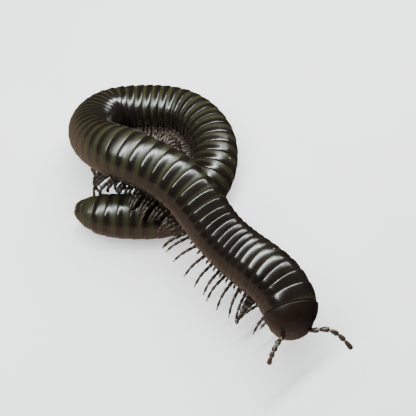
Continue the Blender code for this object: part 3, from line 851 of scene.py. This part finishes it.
def leg_pose(place, side, rear_pair):
    """Swing, reach, droop and stoutness of a leg, a little different each time."""
    reach = at_stops(REACH_STOPS, place) * draw.uniform(*REACH_RANGE)
    if SPREAD_FROM < place < SPREAD_TO and rear_pair and draw.random() < TUCKED_CHANCE:
        reach *= TUCKED_REACH
    swing = (at_stops(SWING_STOPS, place) + draw.uniform(*SWING_RANGE)) * reach
    if LOOP_FROM < place < LOOP_TO:
        reach = draw.uniform(*LOOP_REACH[side])
        droop = draw.uniform(*LOOP_DROOP[side])
        return draw.uniform(*LOOP_SWING), reach, droop, LOOP_STOUTNESS
    if side < 0 and place < LOOP_FROM:
        reach *= FAR_SIDE_REACHES[0] if place < FAR_SIDE_LONG_TO else FAR_SIDE_REACHES[1]
    if SPREAD_TO < place < LOOP_FROM:
        reach *= draw.uniform(*CROWD_REACH)
        droop = draw.uniform(*CROWD_DROOP)
        return swing + draw.uniform(*CROWD_SWING), reach, droop, CROWD_STOUTNESS
    return swing, reach, 1.0, 1.0


leg_count = 0
for label, first, last in lengths:
    parts = MeshParts()
    for ring in range(first, min(last, LAST_RING - LEGLESS_LAST_RINGS) + 1):
        pitch = ring_start(ring + 1) - ring_start(ring)
        pairs = SINGLE_PAIR_SHARE if ring < FIRST_DOUBLE_RING else DOUBLE_PAIR_SHARES
        for pair, share in enumerate(pairs):
            place = ring_start(ring) + pitch * share
            for side in (-1, 1):
                swing, reach, droop, stoutness = leg_pose(place, side, pair == 1)
                line = leg_line(place, side, swing, reach, droop)
                radii = stoutness * LEG_RADII
                sheet, joints = jointed_tube(line, LEG_ARTICLE, LEG_SHARES, radii, LEG_COLUMNS)
                parts.add_sheet(sheet, {"joint": joints})
                leg_count += 1
    dress(parts.build(f"legs_{label}", LEG_BROWN), f"body_length_{label}")
print("legs:", leg_count)

# %% [markdown]
# ## The collum
#
# The first ring is a shield over the neck, open below, whose lower corners reach forward beside
# the head. It is the smoothest piece of all, with a thin raised border along its front edge.
# A subdivided box would need many fixes at the corners, so the shield is a row of arches, each
# closed below by a flat lining. A short table says how low their ends come. The points crowd
# towards the ends, where the thin border is.

# %% The collum
COLLUM_START = 2.04
COLLUM_LENGTH = 6.1
COLLUM_RADIUS = 7.2
COLLUM_REAR_ANGLE = 9.0
COLLUM_MARGIN_ANGLE = 85.3
COLLUM_LOWEST = (
    (2.0, -5.4), (3.4, -5.2), (4.6, -4.0), (5.6, -2.4), (6.7, -0.6), (7.5, 0.2), (8.12, 0.6),
)
COLLUM_ROWS = 44
COLLUM_COLUMNS = 121
COLLUM_CROWDING = 1.8
NARROWEST_ARCH = 0.97
BORDER_HEIGHT = 0.13
BORDER_MIDDLE = 0.30
BORDER_WIDTH = 0.22
MARGIN_WIDTH = 0.9
LINING_COLUMNS = 15
LINING_INWARD = 0.06
LINING_DROP = 0.04
even = np.linspace(-1.0, 1.0, COLLUM_COLUMNS)
crowded = np.sign(even) * (1 - (1 - np.abs(even)) ** COLLUM_CROWDING)
lining = np.linspace(1.0, -1.0, LINING_COLUMNS)


def collum_arch(row):
    """One arch of the shield, with how near each point is to the margin."""
    rear = math.radians(COLLUM_REAR_ANGLE)
    forward = math.radians(COLLUM_REAR_ANGLE + (COLLUM_MARGIN_ANGLE - COLLUM_REAR_ANGLE) * row)
    behind = math.sin(rear)
    ahead = COLLUM_START + COLLUM_LENGTH * (math.sin(forward) - behind) / (1 - behind)
    radius = COLLUM_RADIUS * math.cos(forward) / math.cos(rear)
    half_turn = math.acos(min(max(at_stops(COLLUM_LOWEST, ahead) / radius, -1.0), NARROWEST_ARCH))
    turn = crowded * half_turn
    to_margin = (half_turn - np.abs(turn)) * radius
    border = np.exp(-(((to_margin - BORDER_MIDDLE) / BORDER_WIDTH) ** 2))
    swell = 1 + BORDER_HEIGHT * border / max(radius, 1.0)
    across = np.sin(turn) * radius * swell
    height = np.cos(turn) * radius * swell
    across = np.concatenate((across, lining * (across[-1] - LINING_INWARD)))
    height = np.concatenate((height, np.full(LINING_COLUMNS, height[-1] - LINING_DROP)))
    nearness = unit(1 - np.concatenate((to_margin, 0 * lining)) / MARGIN_WIDTH)
    return np.stack([across, np.full(len(across), ahead), height], axis=1), nearness


arches, margins = zip(*(collum_arch(row) for row in np.linspace(0.0, 1.0, COLLUM_ROWS)))
dress_sheet("collum_shield", BLACK, "collum", "black_cuticle", in_head(arches), {"margin": margins})

# %% [markdown]
# ## The head
#
# Under the shield sits a rounded head capsule, with a notched upper lip at its lower edge, a
# bulging cheek on each side and a flat plate that closes the mouth below. They could be
# sculpted, but most of the head lies under the shield. So all are made from one helper: a ball
# of points stretched to an egg, and for the lip a small notch pushed into it. The face is dark
# brown, darkest up under the shield, which is painted shade from the shield. The capsule, lip
# and cheeks get paler towards their lower edge, and the mouth plate is evenly pale.

# %% The head
HEAD_CENTRE = (0.0, 4.9, -2.7)
HEAD_RADII = (5.3, 3.9, 5.5)
HEAD_TILT = -8.0
LIP_CENTRE = (0.0, 4.6, -7.2)
LIP_RADII = (3.3, 2.0, 1.6)
NOTCH_WIDTH = 0.55
NOTCH_BELOW = -7.6
NOTCH_DEPTH = 0.7
CHEEK_CENTRE = (4.1, 3.5, -4.7)
CHEEK_RADII = (1.5, 2.3, 2.5)
MOUTH_PLATE_CENTRE = (0.0, 2.9, -7.6)
MOUTH_PLATE_RADII = (2.9, 1.9, 1.3)
MOUTH_PLATE_PALENESS = 0.35
POLE_GAP = 0.02


def egg(centre, radii, tilt, rows=40, columns=72):
    """Sheet of points over an egg, in head measures."""
    fall = np.linspace(POLE_GAP, math.pi - POLE_GAP, rows)[:, None]
    turn = (math.tau * np.arange(columns) / columns)[None, :]
    height = np.cos(fall) + 0 * turn
    ball = np.stack([np.sin(fall) * np.sin(turn), np.sin(fall) * np.cos(turn), height], axis=-1)
    turned = np.array(Matrix.Rotation(math.radians(tilt), 3, "X"))
    return ball * np.array(radii) @ turned.T + np.array(centre)


def paler_below(sheet, top, depth, most):
    """How pale each point is: the lower below the top, the paler, up to a limit."""
    return np.clip((top - sheet[..., 2]) / depth, 0.0, most)


def head_piece(name, node, sheet, paleness):
    dress_sheet(name, FACE_BROWN, node, "brown_cuticle", in_head(sheet), {"joint": paleness})


capsule = egg(HEAD_CENTRE, HEAD_RADII, HEAD_TILT)
head_piece("head_capsule", "head", capsule, paler_below(capsule, -5.5, 6.0, 0.45))
lip = egg(LIP_CENTRE, LIP_RADII, HEAD_TILT)
notch = np.exp(-((lip[..., 0] / NOTCH_WIDTH) ** 2)) * np.clip(NOTCH_BELOW - lip[..., 2], 0.0, None)
lip[..., 2] += notch * NOTCH_DEPTH
head_piece("upper_lip", "head", lip, paler_below(lip, -7.2, 2.0, 0.8))
for side, name in ((1, "cheek_right"), (-1, "cheek_left")):
    centre = (CHEEK_CENTRE[0] * side, *CHEEK_CENTRE[1:])
    cheek = egg(centre, CHEEK_RADII, HEAD_TILT, 28, 44)
    head_piece(name + "_shell", name, cheek, paler_below(cheek, -5.5, 4.0, 0.5))
plate = egg(MOUTH_PLATE_CENTRE, MOUTH_PLATE_RADII, 0.0, 28, 44)
paleness = np.full(plate.shape[:2], MOUTH_PLATE_PALENESS)
head_piece("mouth_plate_shell", "mouth_plate", plate, paleness)

# %% [markdown]
# ## Eyes and antennae
#
# Each eye is a small patch of round lenses at the side of the face. It is a low egg turned
# outwards, and its finish draws the lenses. Each antenna has six articles here, a short one at
# its socket and five long clubs. They could be modelled one by one, but the jointed tube of the
# legs serves again, with fatter articles and paler, thinner necks.

# %% Eyes and antennae
EYE_CENTRE = (4.05, 6.85, -2.4)
EYE_RADII = (0.42, 0.85, 0.62)
EYE_TURN = 42.0
ANTENNA_LEFT_ROUTE = (
    (-2.6, 7.5, -1.4), (-5.3, 8.5, 0.4), (-7.0, 9.0, 1.2), (-8.9, 10.1, 1.0), (-10.7, 11.9, 0.0),
    (-12.6, 14.6, -1.8),
)
ANTENNA_RIGHT_ROUTE = (
    (2.6, 7.2, -1.4), (5.1, 9.1, 0.2), (6.5, 10.6, 0.4), (7.5, 11.8, -0.6), (8.5, 13.4, -2.6),
)
ANTENNA_SAMPLES = 200
ANTENNA_COLUMNS = 20
ANTENNA_SHARES = (0.06, 0.20, 0.19, 0.17, 0.16, 0.22)
ANTENNA_RADII = (0.58, 0.70, 0.72, 0.70, 0.68, 0.64)
ANTENNA_ARTICLE = (
    (0.0, 0.50, 1.0), (0.05, 0.55, 0.8), (0.13, 0.68, 0.15), (0.35, 0.88, 0.0), (0.60, 1.02, 0.0),
    (0.80, 1.04, 0.0), (0.92, 0.93, 0.3), (0.98, 0.68, 0.9),
)
for side, half, route in ((1, "right", ANTENNA_RIGHT_ROUTE), (-1, "left", ANTENNA_LEFT_ROUTE)):
    line = SmoothLine(in_head(route), ANTENNA_SAMPLES)
    shape = (ANTENNA_ARTICLE, ANTENNA_SHARES, ANTENNA_RADII, ANTENNA_COLUMNS)
    sheet, joints = jointed_tube(line, *shape)
    names = (f"antenna_{half}_articles", FEELER_BROWN, f"antenna_{half}", "brown_cuticle")
    dress_sheet(*names, sheet, {"joint": joints})
    eye = egg((0.0, 0.0, 0.0), EYE_RADII, 0.0, 24, 40)
    turned = np.array(Matrix.Rotation(math.radians(EYE_TURN * side), 3, "Z"))
    eye = eye @ turned.T + np.array((EYE_CENTRE[0] * side, *EYE_CENTRE[1:]))
    dress_sheet(f"eye_{half}_lenses", EYE_BLACK, f"eye_{half}", "eye_cuticle", in_head(eye), {})

# %% [markdown]
# ## The tail
#
# The last ring narrows to a blunt end closed by two rounded valves that meet in a slit. They
# carry no legs. One dome with a groove would do from afar, but the slit would look painted. So
# the ring is one more sheet of points, and each valve is half a dome.

# %% The tail
TAIL_RING_END = 196.0
TAIL_ROWS = 24
TAIL_WIDTH = 0.945
TAIL_SWELL = 0.03
TAIL_SWELL_OVER = 0.35
TAIL_DRAWN_FROM = 0.9
TAIL_DRAWN_OVER = 0.1
TAIL_ZONES = (-0.60, -0.15)
TAIL_OLIVE = 0.75
VALVE_END = 198.1
VALVE_ROWS = 20
VALVE_COLUMNS = 33
VALVE_WIDTH = 0.93
VALVE_OLIVE = 0.55
HALF_SLIT = 0.12
rows, zones, skins = [], [], []
places = np.linspace(TAIL_RING_START + HAIR_GAP, TAIL_RING_END, TAIL_ROWS)
for place, part in zip(places, np.linspace(0.0, 1.0, TAIL_ROWS)):
    drawn_in = max(0.0, (part - TAIL_DRAWN_FROM) / TAIL_DRAWN_OVER) ** 2
    swell = min(1.0, part / TAIL_SWELL_OVER) - drawn_in
    radius = radius_at(place) * (TAIL_WIDTH + TAIL_SWELL * swell)
    rows.append(skin_points(np.full(RING_SIDES, place), angles, radius))
    zones.append(np.full(RING_SIDES, TAIL_ZONES[0] + (TAIL_ZONES[1] - TAIL_ZONES[0]) * part))
    skins.append(skin_measures(np.full(RING_SIDES, place)))
# Painted shade: the tail's green is turned down the lower a point lies.
olive_with_painted_shade = TAIL_OLIVE * (1 - TAIL_SHADE_STOPS[-1][1] * low_shade(np.array(rows)[..., 2]))
values = {"zone": zones, "skin": skins, "olive": olive_with_painted_shade}
dress_sheet("tail_ring_shell", OLIVE, "tail_ring", "olive_cuticle", rows, values)

turn = math.pi * np.arange(VALVE_COLUMNS) / (VALVE_COLUMNS - 1)
for side, name in ((1, "anal_valve_right"), (-1, "anal_valve_left")):
    rows = []
    for place in np.linspace(TAIL_RING_END + HAIR_GAP, VALVE_END, VALVE_ROWS):
        origin, right, back, _ = (row[0] for row in body_frame([place]))
        radius = radius_at(place) * VALVE_WIDTH
        across = (HALF_SLIT + np.sin(turn) * radius)[:, None] * side
        rows.append(origin + right * across + back * (np.cos(turn) * radius)[:, None])
    rows = np.array(rows)
    rows[..., 2] = np.maximum(rows[..., 2], 0.0)
    zones = np.full(rows.shape[:2], TAIL_ZONES[1])
    values = {"zone": zones, "skin": rows, "olive": np.full(zones.shape, VALVE_OLIVE)}
    dress_sheet(name + "_shell", OLIVE, name, "olive_cuticle", rows, values)

# %% [markdown]
# ## The floor
#
# The animal lies on a plain white sheet. It glows a little, so that it stays pale and shadows
# stay soft. It is hidden from mirror rays, or it would turn the glossy flanks white. A curved
# backdrop could go on behind, but the camera sees only floor.

# %% The floor
FLOOR_HALF = 2000
FLOOR_WHITES = ((0.90, 0.90, 0.90), (0.93, 0.93, 0.93))
FLOOR_GLOW = 0.62
FLOOR_ROUGHNESS = 0.6
FLOOR_BENDING = 1.3
recipe = Recipe("floor")
recipe.shader.inputs["Emission Color"].default_value = (1.0, 1.0, 1.0, 1)
recipe.shader.inputs["Emission Strength"].default_value = FLOOR_GLOW
grain = recipe.noise(recipe.body, 40.0, 3.0)
pale = recipe.blend(recipe.ramp(grain, 0.3, 0.7), *FLOOR_WHITES)
grit = recipe.relief((grain, 0.05, 0.0002))
floor_finish = recipe.finish(pale, FLOOR_ROUGHNESS, grit, FLOOR_BENDING)
corners = [(x * FLOOR_HALF, y * FLOOR_HALF, 0) for x, y in ((-1, -1), (1, -1), (1, 1), (-1, 1))]
floor = make_mesh("floor", corners, [(0, 1, 2, 3)], floor_finish)
floor.visible_glossy = False
print("floor is", 2 * FLOOR_HALF, "mm wide")

# %% [markdown]
# ## The lights
#
# Glossy rings show the shapes of the lights. A narrow bright strip above the animal draws the
# thin lines along the rims, and a wide faint strip beside it gives them soft edges. A far panel
# at the back right catches the sides that are turned that way. Small lamps would leave dots,
# and one large panel would turn all the black to grey. All three lie along one direction.

# %% The lights
LIGHT_LENGTH_WAY = (416.0, 341.0, -60.0)
LIGHT_FACING = (-80.0, 10.0, 280.0)
LIGHT_COLOUR = (0.93, 1.0, 0.96)


def strip_turn(length_way, facing):
    """Turn of a long light whose long side lies along one direction and which faces another."""
    along = Vector(length_way).normalized()
    out = Vector(facing)
    out = (out - along * out.dot(along)).normalized()
    across = out.cross(along)
    return Matrix((along, across, out)).transposed().to_euler()


def soft_light(name, middle, size, power):
    """Rectangular soft light, placed in millimetres."""
    data = bpy.data.lights.new(name, "AREA")
    data.shape = "RECTANGLE"
    data.size = size[0] * MM
    data.size_y = size[1] * MM
    data.energy = power
    data.color = LIGHT_COLOUR
    lamp = show(bpy.data.objects.new(name, data))
    lamp.location = Vector(middle) * MM
    lamp.rotation_euler = strip_turn(LIGHT_LENGTH_WAY, LIGHT_FACING)
    print(name, "measures", size[0], "by", size[1], "mm and has", power, "watts")


soft_light("strip_core", (-62.0, 36.0, 288.0), (650.0, 36.0), 2.6)
soft_light("strip_halo", (-70.0, 30.0, 291.5), (700.0, 130.0), 0.9)
soft_light("far_panel", (366.0, 387.0, 227.0), (500.0, 90.0), 1.3)

# %% [markdown]
# ## The room
#
# All that the lights leave out, the shells mirror from the room. Above, the room is almost
# black, so that the rings keep their depth. Below, it is dark on the right and a warm brown on
# the left. A photographed room could do the same, but two soft fades are enough.

# %% The room
ROOM_ABOVE = (0.024, 0.026, 0.027)
ROOM_DARK = (0.030, 0.020, 0.015)
ROOM_BROWN = (0.70, 0.48, 0.35)
BROWN_WAY = (-0.75, -0.65, 0.0)
room = bpy.data.worlds.new("room")
bpy.context.scene.world = room
room.use_nodes = True
net = Net(room.node_tree)
way = net.node("TexCoord").outputs["Generated"]
height = net.node("SeparateXYZ", {0: way}).outputs["Z"]
to_brown = net.node("VectorMath", {0: way, 1: BROWN_WAY}, operation="DOT_PRODUCT").outputs["Value"]
below = net.blend(net.ramp(to_brown, -0.4, 0.4), ROOM_DARK, ROOM_BROWN)
around = net.blend(net.ramp(height, -0.03, 0.06), below, ROOM_ABOVE)
net.put(net.tree.nodes["Background"].inputs["Color"], around)
print("room:", room.name, "with", len(net.tree.nodes), "nodes")

# %% [markdown]
# ## The camera
#
# The photo was taken from in front and above, at a little under sixty degrees. The camera
# stands close, as for a small animal, so that the raised head looks a little larger than the
# loop. A view without perspective would be simpler, but it would lose that.

# %% The camera
CAMERA_ELEVATION = 57.0
CAMERA_DISTANCE = 280.0
CAMERA_LENS = 87.72
SENSOR_WIDTH = 36.0
TARGET = Vector((MODEL_SHIFT[0], MODEL_SHIFT[1], 8.0))
lens = bpy.data.cameras.new("camera")
lens.lens = CAMERA_LENS
lens.sensor_width = SENSOR_WIDTH
lens.clip_start = 0.01
lens.clip_end = 20.0
camera = show(bpy.data.objects.new("camera", lens))
lift = math.radians(CAMERA_ELEVATION)
backward = Vector((0.0, -math.cos(lift), math.sin(lift)))
camera.location = (TARGET + CAMERA_DISTANCE * backward) * MM
camera.rotation_euler = (math.pi / 2 - lift, 0.0, 0.0)
bpy.context.scene.camera = camera
print("camera at", [round(value, 4) for value in camera.location])
